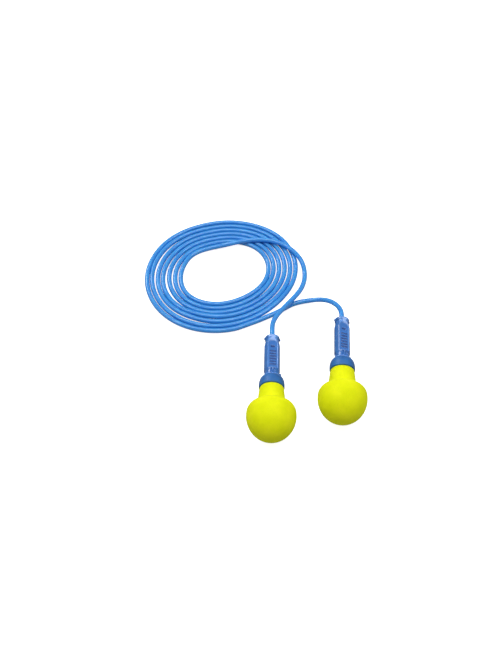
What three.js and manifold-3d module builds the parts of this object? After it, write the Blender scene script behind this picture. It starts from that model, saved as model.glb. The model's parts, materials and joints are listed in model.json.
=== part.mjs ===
// A pair of push-in foam ear plugs joined by one vinyl cord.
// Millimetres, +Z up. The plugs lie on the ground (z = 0) with their foam bulbs towards -Y, and the
// spare cord lies behind them in one flat coil. The origin is on the ground, at the middle of the
// box round the two plugs.
import * as THREE from "three";
import { mergeVertices } from "three/addons/utils/BufferGeometryUtils.js";
import Module from "manifold-3d";

const wasm = await Module();
wasm.setup();

// ---- Driving dimensions. A plug is drawn along its own +Y axis, from the bulb to the cord. ----

// Foam tip: a ball with a flattened back on a short neck, foamed round the post.
const BULB_RADIUS = 6.95;
const BULB_NOSE = 7.5; // widest place to front pole
const BULB_WIDEST = 0.45; // that place, from the ball's centre towards the cord
const BULB_BACK = 3.85; // widest place to where the back would close
const BULB_BACK_POWER = 3.2; // 2 would be an ellipse, more is squarer
const NECK_ROOT_RADIUS = 4; // where the neck leaves the ball
const NECK_END_RADIUS = 3.5; // at the collar
const NECK_REACH = 9.7; // ball centre to collar
const NECK_EDGE = 0.15; // rounding of the neck's end

// Core: a barbed post inside the foam, the domed collar, and a spine inside the grip.
const POST_RADIUS = 1.3;
const POST_LENGTH = 11.5; // collar to post tip
const BARB_HEIGHT = 0.4;
const BARB_LENGTH = 1.2;
const BARB_RISE = 0.9; // the gentle side's share of that length
const BARB_PITCH = 2.6;
const FIRST_BARB = 0.78; // behind the post's round nose
const BARB_COUNT = 3;
const COLLAR_RADIUS = 3.65;
const COLLAR_LENGTH = 3.6;
const COLLAR_BAND = 1; // the collar's straight front part
const COLLAR_REAR_RADIUS = 2.7;
const COLLAR_EDGE = 0.3; // rounding of the collar's front rim
const DOME_POWER = 2;
const SPINE_RADIUS = 0.75;
const SPINE_LENGTH = 9.5;

// Grip: a softer sleeve over the spine, with a notched ring, two recessed panels, a waist and a
// rear flange.
const RING_RADIUS = 2.15;
const RING_LENGTH = 2.1;
const RING_FLOOR = 1.85; // axis to the floor of the ring's notches
const RING_NOTCH_WIDTH = 0.45;
const RING_NOTCH_OFFSET = 0.5; // the two upper and two lower notches, from the middle
const RING_SIDE_NOTCH = 1; // height of the one on the side away from the ring's tab
const RING_TAB_REACH = 0.5; // on one side only
const GRIP_RADIUS = 2.3;
const GRIP_LENGTH = 11.6;
const WAIST_RADIUS = 1.95; // just before the flange
const WAIST_LENGTH = 2.6;
const FLANGE_RADIUS = 2.17;
const FLANGE_THICKNESS = 0.9;
const FLANGE_TAB_REACH = 0.25; // on both sides
const TAB_WIDTH = 0.6;
const TAB_ROOT = 0.2; // how deep a tab starts inside the round body
const PANEL_WIDTH = 2.64;
const PANEL_HEIGHT = 1.62; // axis to panel floor
const PANEL_FRONT_MARGIN = 0.5;
const PANEL_RAMP_LENGTH = 2.2; // the slope from the panel up through the flange
const PANEL_RAMP_END = 0.3; // from there to the mouth
const RIB_COUNT = 6;
const RIB_PITCH = 0.95;
const RIB_LENGTH = 0.4;
const RIB_WIDTH = 1.8;
const RIB_HEIGHT = 0.2;
const FIRST_RIB = 1.3; // panel's front edge to the first rib
const GATE_WIDTH = 1.3; // the moulding gate's pocket behind the ribs
const GATE_LENGTH = 0.6;
const GATE_DEPTH = 0.25;

// Cord and its socket in the grip.
const CORD_DIAMETER = 1.5;
const CORD_SIDES = 8;
const CORD_STEP = 2.4; // in cord diameters
const SOCKET_DEPTH = 1.2; // mouth to the throat where the cord starts to bend
const CORD_SWING = 20; // degrees that the bell mouth lets the cord lean to each side

// Clearances.
const FOAM_FIT = 0.1; // foam to post and collar
const SLEEVE_FIT = 0.1; // grip to spine and collar
const CORD_FIT = 0.05; // cord to its bore
const CORD_GAP = 0.3; // between a cord solid and what it meets
const CUT_PAST = 0.2; // how far a cutter runs past the face that it cuts

// Where each plug lies: the middle of its cord mouth, the turn of its axis towards +X seen from
// above, the cord end's rise, and the roll about its own axis, in degrees.
const PLUGS = [
  { side: "left", mouth: [-9.22, 14.53], yaw: 1.5, pitch: 0, roll: 7 },
  { side: "right", mouth: [11.46, 20.22], yaw: 3.2, pitch: 3, roll: 17 },
];

// The coil's middle, and the flat ring that its turns fill.
const COIL_CENTRE = [-24.6, 47.15];
const COIL_INNER_RADIUS = 12.5;
const COIL_OUTER_RADIUS = 25;

// The cord from each plug towards the coil, after the mouth: x, y and the height of the cord's
// underside. The left lead lies over the coil's turns and stops on them; the right lead leaves
// the outermost turn.
const OVER_COIL = CORD_DIAMETER + CORD_GAP;
const LEFT_LEAD = [
  [-9.2, 16.6, 6.2], [-9.2, 18.9, 5.85], [-9.0, 21.1, 5.35], [-8.4, 23.3, 4.75], [-7.2, 26.1, 3.95],
  [-5.5, 29.0, 3.15], [-3.5, 32.1, 2.5], [-1.4, 35.35, 1.8], [0.4, 38.95, 0.95], [1.5, 42.5, 0.35],
  [1.9, 45.4, 0.2], [1.8, 48.2, 0.6], [1.0, 51.1, CORD_DIAMETER],
  [-0.8, 54.3, OVER_COIL],
  [-3.4, 57.3, OVER_COIL], [-6.7, 59.5, OVER_COIL], [-10.6, 60.5, OVER_COIL],
  [-14.8, 60.5, OVER_COIL], [-18.8, 59.9, OVER_COIL],
];
const RIGHT_LEAD = [
  [11.6, 22.4, 7.55], [11.6, 24.0, 7.2], [11.45, 25.5, 6.65], [11.1, 27.1, 5.95],
  [10.4, 28.9, 5.1], [9.5, 30.6, 4.15], [8.3, 32.2, 3.15], [6.2, 33.7, 1.9], [3.9, 34.4, 0.85],
  [1.3, 34.5, 0.2], [-0.9, 34.1, 0.02], [-2.6, 33.45, 0.02],
];

// Facets.
const BULB_SIDES = 32;
const STEM_SIDES = 24;
const COIL_SIDES = 64;
const BULB_NOSE_STEPS = 9;
const BULB_BACK_STEPS = 7;
const NOSE_STEPS = 4;
const RIM_STEPS = 3;
const NECK_EDGE_STEPS = 2;
const DOME_STEPS = 7;
const MERGE_DISTANCE = 1e-4; // vertices nearer than this are one

// ---- Stations along a plug's axis, from the ball's centre towards the cord. ----

const COLLAR_FRONT = NECK_REACH;
const COLLAR_REAR = COLLAR_FRONT + COLLAR_LENGTH;
const GRIP_FRONT = COLLAR_REAR + SLEEVE_FIT;
const RING_REAR = COLLAR_REAR + RING_LENGTH;
const PANEL_FRONT = RING_REAR + PANEL_FRONT_MARGIN;
const FLANGE_FRONT = RING_REAR + GRIP_LENGTH;
const MOUTH = FLANGE_FRONT + FLANGE_THICKNESS;
const CORD_RADIUS = CORD_DIAMETER / 2;

const foamYellow = { color: 0xd9e021, roughness: 0.85, metalness: 0 };
const coreBlue = { color: 0x2c5fae, roughness: 0.45, metalness: 0 };
const gripBlue = { color: 0x3f74c4, roughness: 0.5, metalness: 0 };
const cordBlue = { color: 0x2a7bd6, roughness: 0.25, metalness: 0 };

// ---- Geometry helpers ----

// A solid of revolution about Y. The profile runs [radius, station] up the outside, and either
// ends on the axis or closes on itself.
function lathe(profile, sides) {
  return new THREE.LatheGeometry(profile.map(([r, y]) => new THREE.Vector2(r, y)), sides);
}

// Points on a superellipse that narrows from one radius towards another over a length; until is
// the share of that length that is drawn.
function narrowing(from, to, station, length, power, until, steps) {
  return Array.from({ length: steps + 1 }, (_, i) => {
    const share = until * Math.sin((Math.PI / 2) * (i / steps));
    const width = (1 - share ** power) ** (1 / power);
    return [to + (from - to) * width, station + length * share];
  });
}

// Points on an arc of an ellipse about (r, y), from one angle to another; 0 points outwards.
function arc(r, y, radiusR, radiusY, from, to, steps) {
  return Array.from({ length: steps + 1 }, (_, i) => {
    const angle = THREE.MathUtils.degToRad(from + ((to - from) * i) / steps);
    return [r + radiusR * Math.cos(angle), y + radiusY * Math.sin(angle)];
  });
}

// A closed geometry as a manifold-3d solid, and a solid as a geometry.
function toSolid(geometry) {
  const bare = geometry.clone().deleteAttribute("normal").deleteAttribute("uv");
  const merged = mergeVertices(bare, MERGE_DISTANCE);
  const vertProperties = merged.attributes.position.array;
  const triVerts = new Uint32Array(merged.index.array);
  return new wasm.Manifold(new wasm.Mesh({ numProp: 3, vertProperties, triVerts }));
}

function toGeometry(solid) {
  const mesh = solid.getMesh();
  const geometry = new THREE.BufferGeometry();
  geometry.setAttribute("position", new THREE.BufferAttribute(mesh.vertProperties, 3));
  geometry.setIndex(new THREE.BufferAttribute(mesh.triVerts, 1));
  return geometry;
}

function box(width, length, height, x, y, z) {
  return toSolid(new THREE.BoxGeometry(width, length, height).translate(x, y, z));
}

function named(name, geometry, look) {
  const mesh = new THREE.Mesh(geometry, new THREE.MeshStandardMaterial(look));
  mesh.name = name;
  return mesh;
}

// ---- Foam tip and core ----

// The post's outline from its tip to its root at the collar, made larger by grow on every side.
// Each barb rises gently from the tip side and drops quickly towards the collar, so foam that was
// pushed on stays on.
function postOutline(grow) {
  const tip = COLLAR_FRONT - POST_LENGTH;
  const radius = POST_RADIUS + grow;
  const nose = arc(0, tip + POST_RADIUS, radius, radius, -90, 0, NOSE_STEPS);
  const barbs = [];
  for (let i = 0; i < BARB_COUNT; i++) {
    const start = tip + POST_RADIUS + FIRST_BARB + i * BARB_PITCH;
    barbs.push([radius, start], [radius + BARB_HEIGHT, start + BARB_RISE]);
    barbs.push([radius, start + BARB_LENGTH]);
  }
  return [...nose, ...barbs];
}

function foamTip() {
  const power = BULB_BACK_POWER;
  const atNeck = (1 - (NECK_ROOT_RADIUS / BULB_RADIUS) ** power) ** (1 / power);
  const end = COLLAR_FRONT - FOAM_FIT;
  const nose = arc(0, BULB_WIDEST, BULB_RADIUS, BULB_NOSE, -90, 0, BULB_NOSE_STEPS);
  const outside = [
    ...nose.slice(0, -1),
    ...narrowing(BULB_RADIUS, 0, BULB_WIDEST, BULB_BACK, power, atNeck, BULB_BACK_STEPS),
    ...arc(
      NECK_END_RADIUS - NECK_EDGE, end - NECK_EDGE, NECK_EDGE, NECK_EDGE, 0, 90, NECK_EDGE_STEPS,
    ),
  ];
  const bore = postOutline(FOAM_FIT).reverse();
  return lathe([...outside, [bore[0][0], end], ...bore], BULB_SIDES);
}

function core() {
  const dome = narrowing(
    COLLAR_RADIUS, COLLAR_REAR_RADIUS, COLLAR_FRONT + COLLAR_BAND, COLLAR_LENGTH - COLLAR_BAND,
    DOME_POWER, 1, DOME_STEPS,
  );
  const rimMiddle = COLLAR_RADIUS - COLLAR_EDGE;
  const rimStation = COLLAR_FRONT + COLLAR_EDGE;
  const rim = arc(rimMiddle, rimStation, COLLAR_EDGE, COLLAR_EDGE, -90, 0, RIM_STEPS);
  const spineEnd = COLLAR_REAR + SPINE_LENGTH;
  const profile = [
    ...postOutline(0),
    [POST_RADIUS, COLLAR_FRONT],
    ...rim,
    ...dome,
    [SPINE_RADIUS, COLLAR_REAR],
    [SPINE_RADIUS, spineEnd],
    [0, spineEnd],
  ];
  return lathe(profile, STEM_SIDES);
}

// ---- Grip ----

// The cutter that leaves a recessed panel: as wide as the panel, flat over it, and sloping up
// through the flange behind it.
function panelCutter() {
  const rampEnd = MOUTH - PANEL_RAMP_END;
  const above = Math.max(GRIP_RADIUS, FLANGE_RADIUS) + CUT_PAST;
  const outline = new THREE.Shape();
  outline.moveTo(PANEL_FRONT, PANEL_HEIGHT);
  outline.lineTo(rampEnd - PANEL_RAMP_LENGTH, PANEL_HEIGHT);
  outline.lineTo(rampEnd, FLANGE_RADIUS);
  outline.lineTo(rampEnd, above);
  outline.lineTo(PANEL_FRONT, above);
  outline.closePath();
  const slab = new THREE.ExtrudeGeometry(outline, { depth: PANEL_WIDTH, bevelEnabled: false });
  slab.translate(0, 0, -PANEL_WIDTH / 2);
  // The outline was drawn as (station, height); turn it to lie in the Y-Z plane.
  return toSolid(slab.rotateZ(Math.PI / 2).rotateY(Math.PI / 2));
}

function grip() {
  const boreRadius = SPINE_RADIUS + SLEEVE_FIT;
  const boreEnd = COLLAR_REAR + SPINE_LENGTH + SLEEVE_FIT;
  const cordBore = CORD_RADIUS + CORD_FIT;
  const mouthRadius = cordBore + SOCKET_DEPTH * Math.tan(THREE.MathUtils.degToRad(CORD_SWING));
  const sleeve = [
    [boreRadius, GRIP_FRONT],
    [RING_RADIUS, GRIP_FRONT],
    [RING_RADIUS, RING_REAR],
    [GRIP_RADIUS, RING_REAR],
    [GRIP_RADIUS, FLANGE_FRONT - WAIST_LENGTH],
    [WAIST_RADIUS, FLANGE_FRONT],
    [FLANGE_RADIUS, FLANGE_FRONT],
    [FLANGE_RADIUS, MOUTH],
    [mouthRadius, MOUTH],
    [cordBore, MOUTH - SOCKET_DEPTH],
    [cordBore, boreEnd],
    [boreRadius, boreEnd],
    [boreRadius, GRIP_FRONT],
  ];
  let body = toSolid(lathe(sleeve, STEM_SIDES));

  // Tabs on both sides of the flange and on one side of the ring, and a notch in its other side.
  const ringMiddle = GRIP_FRONT + RING_LENGTH / 2;
  const flangeMiddle = FLANGE_FRONT + FLANGE_THICKNESS / 2;
  const tabs = [
    [-1, FLANGE_RADIUS, FLANGE_TAB_REACH, flangeMiddle, FLANGE_THICKNESS / 2],
    [1, FLANGE_RADIUS, FLANGE_TAB_REACH, flangeMiddle, FLANGE_THICKNESS / 2],
    [1, RING_RADIUS, RING_TAB_REACH, ringMiddle, RING_LENGTH / 2],
  ];
  for (const [sign, radius, reach, station, length] of tabs) {
    const x = sign * (radius + (reach - TAB_ROOT) / 2);
    body = body.add(box(reach + TAB_ROOT, length, TAB_WIDTH, x, station, 0));
  }
  const notchTop = RING_RADIUS + CUT_PAST;
  const notchDepth = notchTop - RING_FLOOR;
  const notchCentre = (notchTop + RING_FLOOR) / 2;
  const notchLength = RING_REAR - COLLAR_REAR;
  const notchMiddle = (RING_REAR + COLLAR_REAR) / 2;
  body = body.subtract(
    box(notchDepth, notchLength, RING_SIDE_NOTCH, -notchCentre, notchMiddle, 0),
  );

  // The same panel, ring notches, thumb ribs and gate on the upper and the lower side.
  const panel = panelCutter();
  const firstRib = PANEL_FRONT + FIRST_RIB;
  const lastRib = firstRib + (RIB_COUNT - 1) * RIB_PITCH;
  const gateStation = (lastRib + MOUTH - PANEL_RAMP_END - PANEL_RAMP_LENGTH) / 2;
  const gate = box(GATE_WIDTH, GATE_LENGTH, 2 * GATE_DEPTH, 0, gateStation, PANEL_HEIGHT);
  for (const turn of [0, 180]) {
    const turned = (solid) => solid.rotate([0, turn, 0]);
    body = body.subtract(turned(panel)).subtract(turned(gate));
    for (const x of [-RING_NOTCH_OFFSET, RING_NOTCH_OFFSET]) {
      const notch = box(RING_NOTCH_WIDTH, notchLength, notchDepth, x, notchMiddle, notchCentre);
      body = body.subtract(turned(notch));
    }
    for (let i = 0; i < RIB_COUNT; i++) {
      const station = firstRib + i * RIB_PITCH;
      const rib = box(RIB_WIDTH, RIB_LENGTH, 2 * RIB_HEIGHT, 0, station, PANEL_HEIGHT);
      body = body.add(turned(rib));
    }
  }
  return toGeometry(body);
}

// ---- Cord ----

// A plain round tube through the route's points.
function cordTube(points) {
  const route = new THREE.CatmullRomCurve3(points, false, "centripetal");
  const section = new THREE.Shape();
  for (let i = 0; i <= CORD_SIDES; i++) {
    const angle = (2 * Math.PI * i) / CORD_SIDES;
    section[i ? "lineTo" : "moveTo"](CORD_RADIUS * Math.cos(angle), CORD_RADIUS * Math.sin(angle));
  }
  const steps = Math.ceil(route.getLength() / (CORD_STEP * CORD_DIAMETER));
  return new THREE.ExtrudeGeometry(section, { steps, extrudePath: route });
}

// The cord's route from just behind a plug's mouth through its chosen points.
function leadFrom(plug, points) {
  const start = plug.localToWorld(new THREE.Vector3(0, MOUTH + CORD_GAP, 0));
  return [start, ...points.map(([x, y, height]) => new THREE.Vector3(x, y, height + CORD_RADIUS))];
}

function coilRing() {
  const profile = [
    [COIL_INNER_RADIUS, 0],
    [COIL_OUTER_RADIUS, 0],
    [COIL_OUTER_RADIUS, CORD_DIAMETER],
    [COIL_INNER_RADIUS, CORD_DIAMETER],
    [COIL_INNER_RADIUS, 0],
  ];
  return lathe(profile, COIL_SIDES).rotateX(Math.PI / 2);
}

// ---- Assembly ----

const earPlugs = new THREE.Group();

const plugs = PLUGS.map((place) => {
  const plug = new THREE.Group();
  plug.add(
    named(`${place.side}_foam_tip`, foamTip(), foamYellow),
    named(`${place.side}_core`, core(), coreBlue),
    named(`${place.side}_grip`, grip(), gripBlue),
  );
  const [pitch, roll, yaw] = [place.pitch, place.roll, place.yaw].map(THREE.MathUtils.degToRad);
  const reach = MOUTH * Math.cos(pitch);
  plug.rotation.set(pitch, roll, -yaw, "ZXY");
  plug.position.set(
    place.mouth[0] - reach * Math.sin(yaw),
    place.mouth[1] - reach * Math.cos(yaw),
    BULB_RADIUS,
  );
  plug.updateMatrixWorld();
  earPlugs.add(plug);
  return plug;
});

const coil = named("cord_coil", coilRing(), cordBlue);
coil.position.set(COIL_CENTRE[0], COIL_CENTRE[1], 0);
earPlugs.add(coil);
earPlugs.add(named("cord_left_lead", cordTube(leadFrom(plugs[0], LEFT_LEAD)), cordBlue));
earPlugs.add(named("cord_right_lead", cordTube(leadFrom(plugs[1], RIGHT_LEAD)), cordBlue));

export default earPlugs;
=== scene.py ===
import json
import math

import bpy
import numpy as np
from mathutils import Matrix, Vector


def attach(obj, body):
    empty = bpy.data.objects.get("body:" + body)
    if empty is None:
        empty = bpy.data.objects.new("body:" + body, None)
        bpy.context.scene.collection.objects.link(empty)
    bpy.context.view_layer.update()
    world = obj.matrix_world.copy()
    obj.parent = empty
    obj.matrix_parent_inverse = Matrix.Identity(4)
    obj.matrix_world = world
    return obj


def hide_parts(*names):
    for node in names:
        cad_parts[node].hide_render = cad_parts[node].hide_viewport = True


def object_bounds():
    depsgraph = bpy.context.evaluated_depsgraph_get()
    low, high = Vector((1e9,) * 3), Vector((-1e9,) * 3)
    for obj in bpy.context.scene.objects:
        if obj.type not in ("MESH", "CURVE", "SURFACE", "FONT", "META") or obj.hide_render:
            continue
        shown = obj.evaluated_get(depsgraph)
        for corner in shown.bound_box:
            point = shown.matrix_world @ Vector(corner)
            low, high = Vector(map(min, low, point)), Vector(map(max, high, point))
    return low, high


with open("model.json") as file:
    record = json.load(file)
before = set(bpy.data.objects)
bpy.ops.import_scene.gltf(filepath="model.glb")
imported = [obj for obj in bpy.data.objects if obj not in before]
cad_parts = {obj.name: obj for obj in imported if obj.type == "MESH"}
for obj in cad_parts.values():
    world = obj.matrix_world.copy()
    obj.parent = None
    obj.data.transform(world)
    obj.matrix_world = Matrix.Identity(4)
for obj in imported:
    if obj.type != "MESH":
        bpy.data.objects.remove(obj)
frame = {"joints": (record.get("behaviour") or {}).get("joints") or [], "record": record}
cad_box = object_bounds()

# ---- Viewpoint ----
# The pair lies on a table and is looked down on from the bulbs' side.

LENS = 47.2
SENSOR = 36.0
LOOK_DOWN = 50.5  # degrees below the horizon
VIEWPOINT = (-0.01576, -0.1476, 0.2059)

camera_data = bpy.data.cameras.new("viewpoint")
camera_data.lens = LENS
camera_data.sensor_width = SENSOR
camera_data.clip_start = 0.01
camera = bpy.data.objects.new("viewpoint", camera_data)
camera.location = VIEWPOINT
camera.rotation_euler = (math.radians(90 - LOOK_DOWN), 0, 0)
bpy.context.scene.collection.objects.link(camera)
bpy.context.scene.camera = camera
bpy.context.scene.view_settings.view_transform = "Standard"

# ---- Cord ----
# One length of soft PVC cord, extruded round and dyed blue all through. Its ends are bonded into
# the two grips, and most of it lies in one loose flat coil that the left end passes over.

CORD_DIAMETER = 0.0015
CORD_RADIUS = CORD_DIAMETER / 2
CORD_SIDES = 20
CORD_STEP = 0.00045  # between rings of the tube
CORD_EASE = 0.0013  # over what length its stiffness rounds off a bend
CORD_SOCKET = 0.0012  # a grip's mouth to the throat where the cord comes free
PANEL_HEIGHT = 0.00162  # a grip's axis to its panel's floor
LYING = CORD_RADIUS
ON_COIL = CORD_RADIUS + CORD_DIAMETER  # lying on one layer of turns

LEFT_LEAD = [
    (-0.0092, 0.0166, 0.00695), (-0.0092, 0.0189, 0.0066), (-0.0090, 0.0211, 0.0061),
    (-0.0084, 0.0233, 0.0055), (-0.0072, 0.0261, 0.0047), (-0.0055, 0.0290, 0.0039),
    (-0.0035, 0.0321, 0.00325), (-0.0014, 0.03535, 0.00255), (0.0004, 0.03895, 0.0017),
    (0.0015, 0.0425, 0.0011), (0.0019, 0.0454, 0.00095), (0.0018, 0.0482, 0.00135),
    (0.0010, 0.0511, 0.0021), (-0.0008, 0.0543, ON_COIL), (-0.0034, 0.0573, ON_COIL),
    (-0.0067, 0.0595, ON_COIL), (-0.0106, 0.0605, ON_COIL), (-0.0148, 0.0605, ON_COIL),
    (-0.0188, 0.0598, ON_COIL), (-0.0225, 0.0591, 0.00165), (-0.0262, 0.0588, 0.0009),
]
RIGHT_LEAD = [
    (0.0116, 0.0224, 0.0083), (0.0116, 0.0240, 0.00795), (0.01145, 0.0255, 0.0074),
    (0.0111, 0.0271, 0.0067), (0.0104, 0.0289, 0.00585), (0.0095, 0.0306, 0.0049),
    (0.0083, 0.0322, 0.0039), (0.0062, 0.0337, 0.00265), (0.0039, 0.0344, 0.0016),
    (0.0013, 0.0345, 0.00095), (-0.0009, 0.0341, 0.00077), (-0.0026, 0.03345, LYING),
    (-0.0073, 0.0300, LYING), (-0.0127, 0.02695, LYING),
]

COIL_MIDDLE = (-0.0246, 0.04715)
COIL_START = -0.19  # in turns, counted from the coil's left
COIL_END = 6.28
COIL_RADIUS = 0.01325  # of the innermost turn
COIL_PITCH = 0.00181  # how much each turn is wider than the last
TURN_STEPS = 90
# Slow waves round the circle that make the coil oblong: how many, how far, from how many degrees.
WAVES = [(2, 0.0009, 38), (3, 0.00022, 14)]
# Where a turn has sprung out (or in, below zero): the place in turns, counted as the start and end
# are, how far, and over what share of a turn.
SPRUNG = [
    (-0.10, 0.00035, 0.05), (0.11, 0.0003, 0.06), (0.42, 0.00042, 0.10), (1.10, 0.0002, 0.06),
    (1.37, 0.0002, 0.10), (2.03, 0.00015, 0.10), (2.40, 0.00018, 0.08), (3.06, 0.00042, 0.09),
    (3.20, -0.0004, 0.06), (4.05, 0.00018, 0.07), (4.18, -0.00035, 0.05), (4.97, 0.0003, 0.12),
    (5.40, -0.00035, 0.08), (5.77, 0.00025, 0.06),
]
# The same for all turns at once: degrees round the coil, how far, over how many degrees.
LEANING = [(105, -0.00048, 22), (45, 0.0003, 20)]


def coil_points():
    """A flat spiral: the radius grows by one pitch a turn, and on that lie the slow waves and a
    smooth bump wherever turns have sprung or lean together."""
    turns = np.linspace(COIL_START, COIL_END, int((COIL_END - COIL_START) * TURN_STEPS))
    angle = 2 * np.pi * (turns + 0.5)
    radius = COIL_RADIUS + COIL_PITCH * turns
    for number, height, start in WAVES:
        radius += height * np.cos(number * (angle - math.radians(start)))
    for at, height, width in SPRUNG:
        radius += height * np.exp(-(((turns - at) / width) ** 2))
    for at, height, width in LEANING:
        away = np.mod(np.degrees(angle) - at + 180, 360) - 180
        radius += height * np.exp(-((away / width) ** 2))
    x = COIL_MIDDLE[0] + radius * np.cos(angle)
    y = COIL_MIDDLE[1] + radius * np.sin(angle)
    return np.stack([x, y, np.full_like(x, LYING)], axis=1)


def evenly(points, step):
    """The same line with its points the same small distance apart."""
    along = np.concatenate([[0], np.cumsum(np.linalg.norm(np.diff(points, axis=0), axis=1))])
    wanted = np.linspace(0, along[-1], int(round(along[-1] / step)) + 1)
    columns = [np.interp(wanted, along, column) for column in points.T]
    return np.stack(columns, axis=1)


def eased(points, step, over):
    """A line with its corners rounded: each point becomes the average of its neighbours, weighted
    by a bell curve. The line is run on straight past both ends first, so they stay put."""
    reach = int(4 * over / step)
    count = np.arange(1, reach + 1)[:, None]
    head = points[0] - (points[1] - points[0]) * count[::-1]
    tail = points[-1] + (points[-1] - points[-2]) * count
    longer = np.concatenate([head, points, tail])
    weights = np.exp(-0.5 * (np.arange(-reach, reach + 1) * step / over) ** 2)
    weights /= weights.sum()
    return np.stack([np.convolve(column, weights, "valid") for column in longer.T], axis=1)


def plug_frame(side):
    """Where a plug lies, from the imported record: the throat of its cord mouth, and its three
    directions, which are sideways, along it to the cord, and straight out of its upper panel. The
    record's point on the panel's floor, brought down to the axis, is behind the throat."""
    joint = next(j for j in frame["joints"] if j["name"] == f"{side}_plug_swing")
    mount = next(m for m in frame["record"]["mounts"] if m["name"] == f"{side}_grip_panel")
    out = np.array(mount["axis"], float)
    out /= np.linalg.norm(out)
    throat = np.array(joint["pos_m"], float)
    along = throat + PANEL_HEIGHT * out - np.array(mount["pos_m"], float)
    along /= np.linalg.norm(along)
    return throat, np.array([np.cross(along, out), along, out])


throats = {}
straight_out = {}
for side in ("left", "right"):
    throats[side], directions = plug_frame(side)
    straight_out[side] = np.linspace(0, CORD_SOCKET, 4)[:, None] * directions[1] + throats[side]

route = np.concatenate([
    straight_out["left"], LEFT_LEAD, coil_points(), RIGHT_LEAD[::-1], straight_out["right"][::-1],
])
route = evenly(eased(evenly(route, CORD_STEP), CORD_STEP, CORD_EASE), CORD_STEP)


def mesh_piece(name, points, faces, smooth=True):
    """A mesh object at the origin from vertex places and faces."""
    mesh = bpy.data.meshes.new(name)
    mesh.from_pydata(points.reshape(-1, 3), [], faces)
    mesh.polygons.foreach_set("use_smooth", np.full(len(mesh.polygons), smooth))
    mesh.update()
    piece = bpy.data.objects.new(name, mesh)
    bpy.context.scene.collection.objects.link(piece)
    return piece


def ring_faces(rows, sides, loop=False):
    """Four-sided faces between rings of vertices, numbered ring by ring. With loop the last ring
    joins the first, so the surface closes on itself like the skin of a bead."""
    row, side = np.meshgrid(np.arange(rows if loop else rows - 1), np.arange(sides), indexing="ij")
    after = (row + 1) % rows
    beside = (side + 1) % sides
    corners = [row * sides + side, row * sides + beside, after * sides + beside, after * sides + side]
    return np.stack(corners, axis=-1).reshape(-1, 4).tolist()


def tube(name, line, radius, sides):
    """A round rod: a ring of vertices square to the line at each of its points, drawn in to a
    dome at each end. The first direction of each ring is level, so the rod doesn't twist."""
    ahead = np.gradient(line, axis=0)
    ahead /= np.linalg.norm(ahead, axis=1)[:, None]
    level = np.cross(ahead, [0, 0, 1])
    level /= np.linalg.norm(level, axis=1)[:, None]
    upward = np.cross(level, ahead)
    turn = 2 * np.pi * np.arange(sides) / sides
    ring = np.cos(turn)[None, :, None] * level[:, None] + np.sin(turn)[None, :, None] * upward[:, None]
    points = line[:, None] + radius * ring
    ends = np.stack([line[0], line[-1]])
    faces = ring_faces(len(line), sides)
    last = len(line) * sides
    faces += [[last, (i + 1) % sides, i] for i in range(sides)]
    faces += [[last + 1, last - sides + i, last - sides + (i + 1) % sides] for i in range(sides)]
    return mesh_piece(name, np.concatenate([points.reshape(-1, 3), ends]), faces)


def length_map(piece, line, sides, girth):
    """A UV map in millimetres: across is the way round the rod, up is the way along it."""
    mesh = piece.data
    along = np.concatenate([[0], np.cumsum(np.linalg.norm(np.diff(line, axis=0), axis=1))]) * 1000
    corner = np.zeros(len(mesh.loops), np.int32)
    mesh.loops.foreach_get("vertex_index", corner)
    row = np.minimum(corner // sides, len(line) - 1)
    around = (corner % sides) / sides
    # The last face of a ring runs from the last vertex to the first, which counts as a full turn.
    face = np.arange(len(corner)) // 4
    seam = (face % sides == sides - 1) & (corner % sides == 0) & (face < (len(line) - 1) * sides)
    around = np.where(seam, 1.0, around) * girth * 1000
    layer = mesh.uv_layers.new(name="along_cord")
    layer.data.foreach_set("uv", np.stack([around, along[row]], axis=1).ravel())


cord = tube("cord", route, CORD_RADIUS, CORD_SIDES)
length_map(cord, route, CORD_SIDES, math.pi * CORD_DIAMETER)


def linear(code):
    """An sRGB colour, written as six hex digits, as linear red, green, blue and alpha."""
    parts = np.array([int(code[i:i + 2], 16) for i in (0, 2, 4)]) / 255
    low = parts / 12.92
    high = ((parts + 0.055) / 1.055) ** 2.4
    return (*np.where(parts <= 0.04045, low, high), 1.0)


def add_node(tree, kind, links=(), **settings):
    """Adds a node. A setting is a property of the node or the value of one of its inputs, with
    underscores for spaces, and each link is (input name or number, the output that feeds it)."""
    node = tree.nodes.new(kind)
    for key, value in settings.items():
        if hasattr(node, key):
            setattr(node, key, value)
        else:
            node.inputs[key.replace("_", " ")].default_value = value
    for socket, source in links:
        tree.links.new(source, node.inputs[socket])
    return node


def new_material(name):
    """An empty node material, its tree and its output."""
    material = bpy.data.materials.new(name)
    material.use_nodes = True
    material.node_tree.nodes.clear()
    return material, material.node_tree, material.node_tree.nodes.new("ShaderNodeOutputMaterial")


def blend_colours(tree, factor, stops):
    """A colour ramp fed by factor; the stops are (place, hex colour)."""
    ramp = add_node(tree, "ShaderNodeValToRGB", [("Fac", factor)])
    elements = ramp.color_ramp.elements
    while len(elements) < len(stops):
        elements.new(0.5)
    for element, (place, code) in zip(elements, stops):
        element.position = place
        element.color = linear(code)
    return ramp.outputs["Color"]


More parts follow.
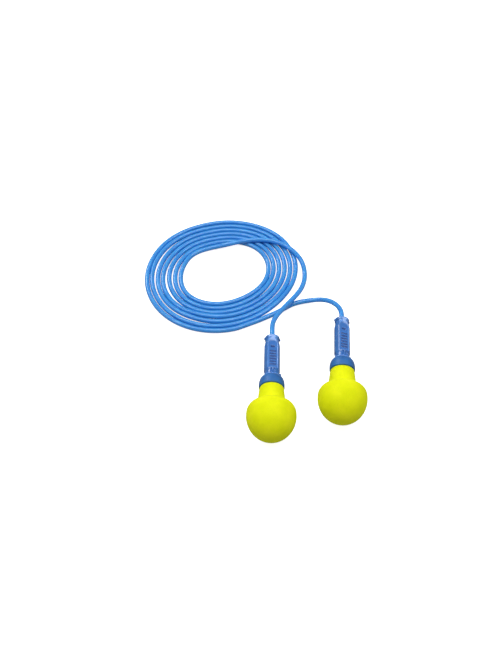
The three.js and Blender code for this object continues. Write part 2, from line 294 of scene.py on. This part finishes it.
# Soft PVC, extruded: a glossy skin over a dye that is a little uneven, with faint lines along its
# length where the die dragged. 0.35 mm between lines; the clouding is 4 mm long.
cord_pvc, tree, output = new_material("soft_pvc_extruded")
place = add_node(tree, "ShaderNodeUVMap", uv_map="along_cord").outputs["UV"]
lines = add_node(tree, "ShaderNodeMapping", [("Vector", place)], Scale=(2.8, 0.05, 1))
drag = add_node(tree, "ShaderNodeTexNoise", [("Vector", lines.outputs["Vector"])], Scale=1.0, Detail=2.0)
clouds = add_node(tree, "ShaderNodeMapping", [("Vector", place)], Scale=(0.5, 0.25, 1))
dye = add_node(tree, "ShaderNodeTexNoise", [("Vector", clouds.outputs["Vector"])], Scale=1.0, Detail=3.0)
colour = blend_colours(tree, dye.outputs["Fac"], [(0.3, "3492e4"), (0.7, "409eee")])
gloss = add_node(
    tree, "ShaderNodeMapRange", [("Value", drag.outputs["Fac"])], To_Min=0.17, To_Max=0.25,
)
relief = add_node(
    tree, "ShaderNodeBump", [("Height", drag.outputs["Fac"])], Strength=0.12, Distance=0.00003,
)
shader = add_node(
    tree, "ShaderNodeBsdfPrincipled",
    [
        ("Base Color", colour), ("Roughness", gloss.outputs["Result"]),
        ("Normal", relief.outputs["Normal"]),
    ],
    IOR=1.53, Specular_IOR_Level=0.75, Subsurface_Weight=0.7, Subsurface_Radius=(0.5, 0.9, 1.0),
    Subsurface_Scale=0.002,
)
tree.links.new(shader.outputs["BSDF"], output.inputs["Surface"])

cord.data.materials.append(cord_pvc)
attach(cord, "cord")
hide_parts("cord_coil", "cord_left_lead", "cord_right_lead")

# ---- Foam tips ----
# Each tip is one piece of slow-recovery polyurethane foam, moulded as a ball on a short neck round
# the core's barbed post. The neck ends flat against the collar.

MM = 0.001
BULB_RADIUS = 6.95 * MM
BULB_NOSE = 7.5 * MM  # widest place to front pole
BULB_WIDEST = 0.45 * MM
BULB_BACK = 3.85 * MM  # widest place to where the flat back would close
BULB_BACK_POWER = 3.2
NECK_ROOT_RADIUS = 4 * MM
NECK_END_RADIUS = 3.5 * MM
NECK_EASE = 0.35 * MM  # how softly the neck leaves the ball
NECK_EDGE = 0.45 * MM
SKIN_STEP = 0.13 * MM
THROAT = 26.7 * MM  # from the ball's middle, along the plug
COLLAR_FRONT = 9.7 * MM
FOAM_GAP = 0.04 * MM  # foam to post and collar
POST_RADIUS = 1.3 * MM
POST_TIP = COLLAR_FRONT - 11.5 * MM
BARB_HEIGHT = 0.4 * MM
BARB_RISE = 0.9 * MM
BARB_LENGTH = 1.2 * MM
BARB_PITCH = 2.6 * MM
FIRST_BARB = POST_TIP + POST_RADIUS + 0.78 * MM
BARB_COUNT = 3
LUMP_SIZE = 5 * MM
LUMP_HEIGHT = 0.035 * MM
FINE_LUMP_SIZE = 1.1 * MM
FINE_LUMP_HEIGHT = 0.012 * MM
CREASE_START = 4.6 * MM
CREASE_LENGTH = 9 * MM
CREASE_HEIGHT = 0.22 * MM
FOAM_SIDES = 192


def arc(radius, station, size_out, size_along, start, end, steps):
    """Points (radius, station) on a quarter or so of an ellipse; 0 degrees points outwards."""
    angle = np.radians(np.linspace(start, end, steps))
    return np.stack([radius + size_out * np.cos(angle), station + size_along * np.sin(angle)], axis=1)


def refined(profile, step):
    """A profile's points, with more of them along its long straight stretches."""
    profile = np.array(profile, float)
    length = np.linalg.norm(np.diff(profile, axis=0), axis=1)
    counts = np.maximum(1, np.ceil(length / step)).astype(int)
    pieces = [
        np.linspace(a, b, n, endpoint=False) for a, b, n in zip(profile[:-1], profile[1:], counts)
    ]
    return np.concatenate([*pieces, profile[-1:]])


def post_profile(grow):
    """The barbed post from its round tip to its root: each barb rises gently and drops quickly."""
    nose = arc(0, POST_TIP + POST_RADIUS, POST_RADIUS + grow, POST_RADIUS + grow, -90, 0, 12)
    barbs = []
    for i in range(BARB_COUNT):
        start = FIRST_BARB + i * BARB_PITCH
        barbs += [
            (POST_RADIUS + grow, start),
            (POST_RADIUS + grow + BARB_HEIGHT, start + BARB_RISE),
            (POST_RADIUS + grow, start + BARB_LENGTH),
        ]
    return np.concatenate([nose, barbs])


def narrowing(wide, narrow, station, length, power, until, steps):
    """Points (radius, station) on a superellipse: the radius falls from wide towards narrow as
    (1 - share ** power) ** (1 / power), and until is the share of the length that is drawn."""
    share = until * np.sin(np.linspace(0, np.pi / 2, steps))
    width = (1 - share ** power) ** (1 / power)
    return np.stack([narrow + (wide - narrow) * width, station + length * share], axis=1)


def foam_profile():
    """The ball's rounder front and flatter back, the tapering neck, eased into it, the neck's
    rounded end, and back down the bore that the post fills."""
    end = COLLAR_FRONT - FOAM_GAP
    power = BULB_BACK_POWER
    at_neck = (1 - (NECK_ROOT_RADIUS / BULB_RADIUS) ** power) ** (1 / power)
    front = arc(0, BULB_WIDEST, BULB_RADIUS, BULB_NOSE, -90, 0, 90)
    back = narrowing(BULB_RADIUS, 0, BULB_WIDEST, BULB_BACK, power, at_neck, 60)[1:]
    edge = arc(NECK_END_RADIUS - NECK_EDGE, end - NECK_EDGE, NECK_EDGE, NECK_EDGE, 0, 90, 6)
    skin = evenly(np.concatenate([front, back, edge[:1]]), SKIN_STEP)
    skin = eased(skin, SKIN_STEP, NECK_EASE)
    skin[0, 0] = 0
    bore = post_profile(FOAM_GAP)[::-1]
    face = refined([edge[-1], (bore[0][0], end)], 0.4 * MM)[1:]
    hole = refined([face[-1], *bore], 0.4 * MM)[1:]
    return np.concatenate([skin, edge[1:], face, hole])


def lumps(x, y, z, seed, size, count=24):
    """A smooth uneven field about zero, at most 1: the mean of count waves that run in scattered
    directions, each about size long."""
    random = np.random.default_rng(seed)
    total = np.zeros_like(x)
    for _ in range(count):
        direction = random.normal(size=3)
        direction *= 2 * np.pi / (size * random.uniform(0.7, 1.6) * np.linalg.norm(direction))
        total += np.sin(direction[0] * x + direction[1] * y + direction[2] * z + random.uniform(0, 6.28))
    return total / count


def turned_piece(name, profile, sides, place, relief=None):
    """A turned solid whose profile starts and ends on the axis, where its poles close. relief is a
    function of radius, angle and station that gives how far the surface stands out."""
    throat, directions = place
    turn = 2 * np.pi * np.arange(sides) / sides
    radius, angle = np.meshgrid(profile[1:-1, 0], turn, indexing="ij")
    station, _ = np.meshgrid(profile[1:-1, 1], turn, indexing="ij")
    if relief:
        radius = radius + relief(radius, angle, station)
    local = np.stack([radius * np.cos(angle), station, radius * np.sin(angle)], axis=-1)
    ends = [[0, profile[0, 1], 0], [0, profile[-1, 1], 0]]
    local = np.concatenate([local.reshape(-1, 3), ends])
    local[:, 1] -= THROAT
    rows = len(profile) - 2
    last = rows * sides
    faces = ring_faces(rows, sides)
    faces = [face[::-1] for face in faces]
    faces += [[last, i, (i + 1) % sides] for i in range(sides)]
    faces += [[last + 1, last - sides + (i + 1) % sides, last - sides + i] for i in range(sides)]
    return mesh_piece(name, local @ directions + throat, faces)


def foam_relief(seed):
    """How unevenly a foam tip's skin stands: soft lumps all over, and on the neck a few shallow
    creases that run along it, as the post's barbs and the collar hold the foam there."""
    def relief(radius, angle, station):
        x, z = radius * np.cos(angle), radius * np.sin(angle)
        outside = np.clip((radius - 2.4 * MM) / (0.8 * MM), 0, 1)
        outside *= np.clip((station + BULB_NOSE - BULB_WIDEST) / (1.5 * MM), 0, 1)
        skin = LUMP_HEIGHT * lumps(x, station, z, seed, LUMP_SIZE)
        skin += FINE_LUMP_HEIGHT * lumps(x, station, z, seed + 1, FINE_LUMP_SIZE)
        on_neck = np.clip((station - CREASE_START) / (1.2 * MM), 0, 1)
        on_neck *= np.clip((COLLAR_FRONT - station) / (0.6 * MM), 0.35, 1)
        crease = lumps(np.cos(angle), station / CREASE_LENGTH, np.sin(angle), seed + 2, 1.1)
        return outside * (skin + CREASE_HEIGHT * on_neck * crease)
    return relief


# Polyurethane foam, moulded: matt, dyed a bright yellow that glows a little inside, closed by a
# thin skin that is pricked all over with pores. Real pores are near 0.1 mm; drawn at 0.3 mm.
foam, tree, output = new_material("polyurethane_foam")
place = add_node(tree, "ShaderNodeTexCoord").outputs["Object"]
pores = add_node(tree, "ShaderNodeTexVoronoi", [("Vector", place)], Scale=1 / (0.3 * MM))
grain = add_node(tree, "ShaderNodeTexNoise", [("Vector", place)], Scale=1 / (0.5 * MM), Detail=4.0)
clouds = add_node(tree, "ShaderNodeTexNoise", [("Vector", place)], Scale=1 / (3.5 * MM), Detail=3.0)
dye = blend_colours(tree, clouds.outputs["Fac"], [(0.35, "eaf202"), (0.65, "f4fa12")])
# Painted shade: the colour is darkened in the pores, where shade would fall.
painted_pore_shade = blend_colours(tree, pores.outputs["Distance"], [(0.05, "c9cf00"), (0.35, "ffffff")])
colour = add_node(
    tree, "ShaderNodeMix", [(6, dye), (7, painted_pore_shade)], data_type="RGBA", blend_type="MULTIPLY",
    Factor=0.35,
)
skin = add_node(
    tree, "ShaderNodeMath", [(0, pores.outputs["Distance"]), (1, grain.outputs["Fac"])],
    operation="MULTIPLY",
)
relief = add_node(tree, "ShaderNodeBump", [("Height", skin.outputs[0])], Strength=0.3, Distance=0.0001)
shader = add_node(
    tree, "ShaderNodeBsdfPrincipled",
    [("Base Color", colour.outputs[2]), ("Normal", relief.outputs["Normal"])],
    Roughness=0.8, IOR=1.45, Specular_IOR_Level=0.2, Subsurface_Weight=0.3,
    Subsurface_Radius=(1.0, 0.9, 0.15), Subsurface_Scale=0.0012,
)
tree.links.new(shader.outputs["BSDF"], output.inputs["Surface"])

for seed, side in enumerate(("left", "right")):
    tip = turned_piece(
        f"{side}_tip_foam", foam_profile(), FOAM_SIDES, plug_frame(side), foam_relief(10 * seed + 3),
    )
    tip.data.materials.append(foam)
    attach(tip, f"{side}_plug")
    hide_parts(f"{side}_foam_tip")

# ---- Cores ----
# A stiff moulded core: the barbed post that holds the foam, the domed collar that stops it, and
# the spine that the softer grip is moulded over.

COLLAR_RADIUS = 3.65 * MM
COLLAR_LENGTH = 3.6 * MM
COLLAR_BAND = 1 * MM
COLLAR_REAR_RADIUS = 2.7 * MM
COLLAR_REAR_EDGE = 0.15 * MM
COLLAR_EDGE = 0.3 * MM
DOME_POWER = 2
SPINE_RADIUS = 0.75 * MM
SPINE_LENGTH = 9.5 * MM
SPINE_EDGE = 0.2 * MM
COLLAR_REAR = COLLAR_FRONT + COLLAR_LENGTH
CORE_SIDES = 128


def core_profile():
    """The post, the collar's rounded front rim, its straight band, a dome that is a superellipse
    down to the collar's rounded rear edge, and the spine."""
    rim = arc(COLLAR_RADIUS - COLLAR_EDGE, COLLAR_FRONT + COLLAR_EDGE, COLLAR_EDGE, COLLAR_EDGE, -90, 0, 7)
    band = (COLLAR_RADIUS, COLLAR_FRONT + 0.7 * COLLAR_BAND)
    dome = narrowing(
        COLLAR_RADIUS, COLLAR_REAR_RADIUS, COLLAR_FRONT + COLLAR_BAND,
        COLLAR_LENGTH - COLLAR_BAND - COLLAR_REAR_EDGE, DOME_POWER, 1, 40,
    )
    heel = arc(
        COLLAR_REAR_RADIUS - COLLAR_REAR_EDGE, COLLAR_REAR - COLLAR_REAR_EDGE,
        COLLAR_REAR_EDGE, COLLAR_REAR_EDGE, 0, 90, 6,
    )
    spine = arc(
        SPINE_RADIUS - SPINE_EDGE, COLLAR_REAR + SPINE_LENGTH - SPINE_EDGE, SPINE_EDGE, SPINE_EDGE, 0, 90, 5,
    )
    post = refined(post_profile(0), 0.4 * MM)
    root = refined([(POST_RADIUS, COLLAR_FRONT), rim[0]], 0.4 * MM)
    rear = refined([heel[-1], (SPINE_RADIUS, COLLAR_REAR), spine[0]], 0.4 * MM)[1:]
    tip = [(0, COLLAR_REAR + SPINE_LENGTH)]
    return np.concatenate([post, root, rim[1:], [band], dome, heel[1:], rear, spine[1:], tip])


# Polypropylene, injection moulded: a firm satin blue, a shade deeper than the grip, with a fine
# spark-eroded grain of 0.15 mm on its skin.
core_plastic, tree, output = new_material("polypropylene_moulded")
place = add_node(tree, "ShaderNodeTexCoord").outputs["Object"]
grain = add_node(tree, "ShaderNodeTexNoise", [("Vector", place)], Scale=1 / (0.15 * MM), Detail=3.0)
clouds = add_node(tree, "ShaderNodeTexNoise", [("Vector", place)], Scale=1 / (2.5 * MM), Detail=3.0)
colour = blend_colours(tree, clouds.outputs["Fac"], [(0.35, "2460a4"), (0.65, "2e70b8")])
gloss = add_node(
    tree, "ShaderNodeMapRange", [("Value", grain.outputs["Fac"])], To_Min=0.34, To_Max=0.48,
)
relief = add_node(tree, "ShaderNodeBump", [("Height", grain.outputs["Fac"])], Strength=0.1, Distance=0.00002)
shader = add_node(
    tree, "ShaderNodeBsdfPrincipled",
    [
        ("Base Color", colour), ("Roughness", gloss.outputs["Result"]),
        ("Normal", relief.outputs["Normal"]),
    ],
    IOR=1.49,
)
tree.links.new(shader.outputs["BSDF"], output.inputs["Surface"])

for side in ("left", "right"):
    core = turned_piece(f"{side}_core_moulding", core_profile(), CORE_SIDES, plug_frame(side))
    core.data.materials.append(core_plastic)
    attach(core, f"{side}_plug")
    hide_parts(f"{side}_core")

# ---- Grips ----
# A softer sleeve moulded over the spine: a notched ring with one side tab, a recessed panel with
# thumb ribs and a gate above and below, a waist, and a rear flange with the cord's bell mouth.

SLEEVE_GAP = 0.1 * MM
GRIP_FRONT = COLLAR_REAR + SLEEVE_GAP
LIP_MIDDLE = GRIP_FRONT + 0.2 * MM  # a thin round lip that covers the joint with the collar
LIP_HALF = 0.32 * MM
LIP_RADIUS = 2.55 * MM
RING_REAR = COLLAR_REAR + 2.1 * MM
RING_RADIUS = 2.15 * MM
RING_FLOOR = 1.85 * MM
NOTCHES = (7, 19)  # degrees from a panel's middle to each notch's two sides
SIDE_NOTCH = 13  # degrees from the middle of the untabbed side
LIP_GAP = 8  # the lip is low within so many degrees of a panel's middle
RING_TAB_REACH = 0.5 * MM
GRIP_RADIUS = 2.3 * MM
GRIP_LENGTH = 11.6 * MM
FLANGE_FRONT = RING_REAR + GRIP_LENGTH
WAIST_START = FLANGE_FRONT - 2.6 * MM
WAIST_RADIUS = 1.95 * MM
FLANGE_RADIUS = 2.17 * MM
FLANGE_TAB_REACH = 0.25 * MM
TAB_HALF_WIDTH = 0.3 * MM
MOUTH = FLANGE_FRONT + 0.9 * MM
BORE_RADIUS = SPINE_RADIUS + SLEEVE_GAP
CORD_BORE = CORD_RADIUS + 0.05 * MM
CORD_SWING = 20  # degrees that the bell mouth lets the cord lean
MOUTH_RADIUS = CORD_BORE + CORD_SOCKET * math.tan(math.radians(CORD_SWING))
PANEL_HALF_WIDTH = 1.32 * MM
PANEL_FRONT = RING_REAR + 0.5 * MM
RAMP_END = MOUTH - 0.15 * MM
RAMP_LENGTH = 1.85 * MM  # along the middle of the panel
RAMP_ARCH = 1.3 * MM  # how much sooner it starts at the panel's edges
RAMP_POWER = 1.05
RIB_COUNT = 6
RIB_PITCH = 0.95 * MM
RIB_LENGTH = 0.4 * MM
RIB_HALF_WIDTH = 0.9 * MM
RIB_HEIGHT = 0.22 * MM
RIB_START = PANEL_FRONT + 1.3 * MM
GATE_STATION = 23.7 * MM
GATE_HALF_WIDTH = 0.65 * MM
GATE_HALF_LENGTH = 0.3 * MM
GATE_DEPTH = 0.25 * MM
PAINTED_HIGHLIGHT = 0.35  # painted highlight, the palest blue: a panel's rim and ramp, and the lip
PAINTED_FLOOR_SHADE = 0.7  # painted shade, a deeper blue: a panel's floor
GRIP_SIDES = 320
GRIP_STEP = 0.07 * MM
SOFT = 0.14 * MM  # the width of a rounded step
END_EDGE = 0.12 * MM  # how far the front and the mouth are rounded


def step(start, end, value):
    """0 below start, 1 above end, and a smooth S between; it falls if end is below start."""
    share = np.clip((value - start) / (end - start), 0, 1)
    return share * share * (3 - 2 * share)


def between(low, high, soft, value):
    """1 between low and high and 0 outside, with soft shoulders centred on both."""
    half = soft / 2
    return step(low - half, low + half, value) * step(high + half, high - half, value)


def round_body(angle, lean, station):
    """The sleeve before its panels are cut: lip, notched ring, barrel, waist and flange. lean is
    the angle from the middle of the upper or lower panel."""
    from_panel = np.degrees(np.abs(lean))
    notches = between(*NOTCHES, 4, from_panel)
    far_side = np.degrees(np.abs(angle - np.pi))
    notches = np.maximum(notches, step(SIDE_NOTCH + 2, SIDE_NOTCH - 2, far_side))
    ring = RING_RADIUS + (RING_FLOOR - RING_RADIUS) * notches
    lip_gap = step(LIP_GAP + 2, LIP_GAP - 2, from_panel)
    bead = np.sqrt(np.clip(1 - ((station - LIP_MIDDLE) / LIP_HALF) ** 2, 0, 1))
    waist = (WAIST_RADIUS - GRIP_RADIUS) * step(WAIST_START, FLANGE_FRONT, station)
    barrel = GRIP_RADIUS + waist
    radius = ring + (LIP_RADIUS - ring) * bead * (1 - 0.7 * lip_gap)
    radius = radius + (barrel - radius) * step(RING_REAR - 0.2 * MM, RING_REAR + 0.3 * MM, station)
    on_flange = step(FLANGE_FRONT - SOFT / 2, FLANGE_FRONT + SOFT / 2, station)
    return radius + (FLANGE_RADIUS - radius) * on_flange


def grip_radius(angle, station):
    """How far a grip's skin stands from its axis, and its painted light and shade, from 0 on the round
    body to 1 on ribs and gate: a painted highlight on the panel's rim and ramp and on the lip, painted
    shade on the panel's floor, deepest on ribs and gate pocket. The round body is cut down to the
    panel's floor where that lies lower, and then ribs, gate pocket and tabs are added. The floor rises
    to the flange as a power of the share of the ramp done."""
    turned = np.where(angle <= np.pi, angle, angle - np.pi)
    lean = np.pi / 2 - turned
    body = round_body(angle, lean, station)

    tilt = np.clip(np.abs(lean), 0, 1.2)
    across = PANEL_HEIGHT * np.tan(tilt)
    ramp_start = RAMP_END - RAMP_LENGTH - RAMP_ARCH * np.clip(across / PANEL_HALF_WIDTH, 0, 1) ** 2
    share = np.clip((station - ramp_start) / (RAMP_END - ramp_start), 0, 1)
    height = PANEL_HEIGHT + (FLANGE_RADIUS - PANEL_HEIGHT) * share ** RAMP_POWER
    floor = height / np.cos(tilt)
    edge = np.minimum(across, body * np.sin(tilt))
    cut = step(PANEL_HALF_WIDTH + 0.12 * MM, PANEL_HALF_WIDTH - 0.04 * MM, edge)
    cut = cut * step(PANEL_FRONT - SOFT / 2, PANEL_FRONT + SOFT / 2, station)
    radius = body + cut * np.minimum(0, floor - body)

    place = (station - RIB_START + RIB_PITCH / 2) / RIB_PITCH
    number = np.floor(place)
    from_rib = np.abs(place - number - 0.5) * RIB_PITCH
    rib = step(RIB_LENGTH / 2 + 0.06 * MM, RIB_LENGTH / 2 - 0.06 * MM, from_rib)
    rib = rib * (number >= 0) * (number < RIB_COUNT)
    rib = rib * step(RIB_HALF_WIDTH + 0.05 * MM, RIB_HALF_WIDTH - 0.07 * MM, across)
    radius = radius + RIB_HEIGHT * rib

    gate = step(GATE_HALF_WIDTH + 0.05 * MM, GATE_HALF_WIDTH - 0.05 * MM, across)
    from_gate = np.abs(station - GATE_STATION)
    gate = gate * step(GATE_HALF_LENGTH + 0.05 * MM, GATE_HALF_LENGTH - 0.05 * MM, from_gate)
    radius = radius - GATE_DEPTH * gate

    # Painted light: the panel's rim and ramp and the lip are painted pale as a highlight, the panel's floor
    # deeper as shade, and ribs and gate pocket deepest as shade.
    in_panel = step(PANEL_HALF_WIDTH + 0.25 * MM, PANEL_HALF_WIDTH - 0.2 * MM, edge)
    in_panel = in_panel * step(PANEL_FRONT - 0.3 * MM, PANEL_FRONT + 0.2 * MM, station)
    on_floor = step(0.4, 0.0, share)
    on_lip = between(-0.1 * MM, LIP_HALF, 0.2 * MM, np.abs(station - LIP_MIDDLE))
    painted_light_and_shade = in_panel * (PAINTED_HIGHLIGHT + (PAINTED_FLOOR_SHADE - PAINTED_HIGHLIGHT) * on_floor)
    painted_light_and_shade = np.maximum(painted_light_and_shade, PAINTED_HIGHLIGHT * on_lip)
    painted_light_and_shade = painted_light_and_shade + (1 - PAINTED_FLOOR_SHADE) * in_panel * np.maximum(rib, gate)

    tab_half = TAB_HALF_WIDTH / FLANGE_RADIUS
    from_side = np.pi / 2 - np.abs(lean)
    tab = step(tab_half + 0.03, tab_half - 0.03, from_side)
    on_flange = between(FLANGE_FRONT + 0.22 * MM, MOUTH - 0.2 * MM, 0.12 * MM, station)
    on_ring = between(GRIP_FRONT + 0.45 * MM, RING_REAR - 0.4 * MM, 0.14 * MM, station)
    near_side = np.abs(np.abs(angle - np.pi) - np.pi) < np.pi / 4
    radius = radius + tab * (FLANGE_TAB_REACH * on_flange + RING_TAB_REACH * on_ring * near_side)
    return radius, painted_light_and_shade


def grip_piece(side, place):
    """The sleeve as one skin that closes on itself: down the outside, round the mouth's lip, back
    through the bore over the spine, and round the front edge."""
    throat, directions = place
    lip = END_EDGE
    stations = np.arange(GRIP_FRONT + lip, MOUTH - lip, GRIP_STEP)
    turn = 2 * np.pi * np.arange(GRIP_SIDES) / GRIP_SIDES
    angle, station = np.meshgrid(turn, stations)
    outside, outside_painted_light = grip_radius(angle, station)
    corner = np.linspace(0, np.pi / 2, 5)[1:, None]
    rear_radius = outside[-1] - lip * (1 - np.cos(corner))
    rear_station = (MOUTH - lip + lip * np.sin(corner)) * np.ones(GRIP_SIDES)
    front_radius = (outside[0] - lip * (1 - np.cos(corner)))[::-1]
    front_station = ((GRIP_FRONT + lip - lip * np.sin(corner)) * np.ones(GRIP_SIDES))[::-1]
    bore_end = COLLAR_REAR + SPINE_LENGTH + SLEEVE_GAP
    inner_edge = arc(MOUTH_RADIUS + lip, MOUTH - lip, lip, lip, 90, 180, 5)
    bore = np.concatenate([
        inner_edge,
        refined(
            [
                (CORD_BORE, MOUTH - CORD_SOCKET), (CORD_BORE, bore_end),
                (BORE_RADIUS, bore_end - 0.1 * MM), (BORE_RADIUS, GRIP_FRONT),
            ],
            0.6 * MM,
        ),
    ])
    inner_radius = bore[:, :1] * np.ones(GRIP_SIDES)
    inner_station = bore[:, 1:] * np.ones(GRIP_SIDES)
    radius = np.concatenate([front_radius, outside, rear_radius, inner_radius])
    station = np.concatenate([front_station, station, rear_station, inner_station])
    angle = np.broadcast_to(turn, radius.shape)
    local = np.stack([radius * np.cos(angle), station - THROAT, radius * np.sin(angle)], axis=-1)
    faces = [face[::-1] for face in ring_faces(len(radius), GRIP_SIDES, loop=True)]
    sleeve = mesh_piece(f"{side}_grip_sleeve", local.reshape(-1, 3) @ directions + throat, faces)
    # The painted highlight and shade is kept as a point attribute on the outside skin; the ends and bore get
    # none.
    painted_light_and_shade = np.zeros_like(radius)
    painted_light_and_shade[len(front_radius):len(front_radius) + len(outside)] = outside_painted_light
    layer = sleeve.data.attributes.new("painted_light_and_shade", "FLOAT", "POINT")
    layer.data.foreach_set("value", painted_light_and_shade.ravel().astype(np.float32))
    return sleeve


# Thermoplastic elastomer, moulded: a softer, paler satin blue than the core, with a fine grain of
# 0.12 mm and slight clouding. The painted light and shade attribute makes rims, ramps and the lip
# paler as painted highlight, the panel's floor deeper and ribs and gate deepest as painted shade.
grip_rubber, tree, output = new_material("thermoplastic_elastomer")
place = add_node(tree, "ShaderNodeTexCoord").outputs["Object"]
grain = add_node(tree, "ShaderNodeTexNoise", [("Vector", place)], Scale=1 / (0.12 * MM), Detail=3.0)
clouds = add_node(tree, "ShaderNodeTexNoise", [("Vector", place)], Scale=1 / (1.8 * MM), Detail=3.0)
painted_light_and_shade = add_node(tree, "ShaderNodeAttribute", attribute_name="painted_light_and_shade").outputs["Fac"]
# Painted highlight and shade: pale blue where a highlight is painted, deep blues where shade is painted.
depth = blend_colours(
    tree, painted_light_and_shade, [(0.0, "3074c4"), (PAINTED_HIGHLIGHT, "64a0f0"), (PAINTED_FLOOR_SHADE, "367ace"), (1.0, "124a94")],
)
flow = blend_colours(tree, clouds.outputs["Fac"], [(0.3, "e4e8ec"), (0.7, "ffffff")])
colour = add_node(
    tree, "ShaderNodeMix", [(6, depth), (7, flow)], data_type="RGBA", blend_type="MULTIPLY",
    Factor=1.0,
).outputs[2]
gloss = add_node(
    tree, "ShaderNodeMapRange", [("Value", grain.outputs["Fac"])], To_Min=0.18, To_Max=0.28,
)
relief = add_node(tree, "ShaderNodeBump", [("Height", grain.outputs["Fac"])], Strength=0.12, Distance=0.00002)
shader = add_node(
    tree, "ShaderNodeBsdfPrincipled",
    [
        ("Base Color", colour), ("Roughness", gloss.outputs["Result"]),
        ("Normal", relief.outputs["Normal"]),
    ],
    IOR=1.5, Specular_IOR_Level=1.0, Subsurface_Weight=0.1, Subsurface_Radius=(0.3, 0.5, 1.0),
    Subsurface_Scale=0.0004,
)
tree.links.new(shader.outputs["BSDF"], output.inputs["Surface"])

for side in ("left", "right"):
    sleeve = grip_piece(side, plug_frame(side))
    sleeve.data.materials.append(grip_rubber)
    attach(sleeve, f"{side}_plug")
    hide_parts(f"{side}_grip")

# ---- Table and light ----
# A plain white table under two soft lamps, with white all round. Table and surroundings are lit
# up for the viewpoint only: to every other ray they are dimmer, so little light comes from below.

FLOOR_HALF = 1.5
LAMP_HEIGHT = 0.75
ROOM_LIGHT = 0.33
floor = mesh_piece(
    "table",
    np.array([[-1, -1, 0], [1, -1, 0], [1, 1, 0], [-1, 1, 0]]) * FLOOR_HALF,
    [[0, 1, 2, 3]],
)
table_top, tree, output = new_material("white_laminate")
place = add_node(tree, "ShaderNodeTexCoord").outputs["Object"]
mottle = add_node(tree, "ShaderNodeTexNoise", [("Vector", place)], Scale=12.0, Detail=2.0)
colour = blend_colours(tree, mottle.outputs["Fac"], [(0.3, "f4f5f6"), (0.7, "f8f8f8")])
seen = add_node(
    tree, "ShaderNodeBsdfPrincipled", [("Base Color", colour)], Roughness=0.6, Specular_IOR_Level=0.2,
    Emission_Color=(1, 1, 1, 1), Emission_Strength=0.8,
)
bounced = add_node(tree, "ShaderNodeBsdfDiffuse", Color=(0.42, 0.42, 0.42, 1))
ray = add_node(tree, "ShaderNodeLightPath")
shader = add_node(
    tree, "ShaderNodeMixShader",
    [
        (0, ray.outputs["Is Camera Ray"]), (1, bounced.outputs["BSDF"]), (2, seen.outputs["BSDF"]),
    ],
)
tree.links.new(shader.outputs[0], output.inputs["Surface"])
floor.data.materials.append(table_top)


def softbox(name, across, along, width, depth, energy):
    """A soft rectangular lamp over the table, off the pair's middle by across and along, and
    turned to face it."""
    data = bpy.data.lights.new(name, "AREA")
    data.shape = "RECTANGLE"
    data.size = width
    data.size_y = depth
    data.energy = energy
    lamp = bpy.data.objects.new(name, data)
    middle = Vector(((cad_box[0][0] + cad_box[1][0]) / 2, (cad_box[0][1] + cad_box[1][1]) / 2, 0))
    offset = Vector((across, along, LAMP_HEIGHT))
    lamp.location = middle + offset
    lamp.rotation_euler = offset.to_track_quat("Z", "Y").to_euler()
    bpy.context.scene.collection.objects.link(lamp)


# One wide softbox hangs above, and a small one behind and to the left draws the cord's edge light.
softbox("overhead_softbox", 0, 0.03, 1.4, 0.4, 5.2)
softbox("rear_left_softbox", -0.6, 0.8, 0.4, 0.4, 2.6)

world = bpy.data.worlds.new("white_room")
world.use_nodes = True
world.node_tree.nodes.clear()
dim = add_node(world.node_tree, "ShaderNodeBackground", Color=(1, 1, 1, 1), Strength=ROOM_LIGHT)
bright = add_node(world.node_tree, "ShaderNodeBackground", Color=(1, 1, 1, 1), Strength=1.0)
ray = add_node(world.node_tree, "ShaderNodeLightPath")
backdrop = add_node(
    world.node_tree, "ShaderNodeMixShader",
    [
        (0, ray.outputs["Is Camera Ray"]), (1, dim.outputs["Background"]),
        (2, bright.outputs["Background"]),
    ],
)
output = world.node_tree.nodes.new("ShaderNodeOutputWorld")
world.node_tree.links.new(backdrop.outputs[0], output.inputs["Surface"])
bpy.context.scene.world = world
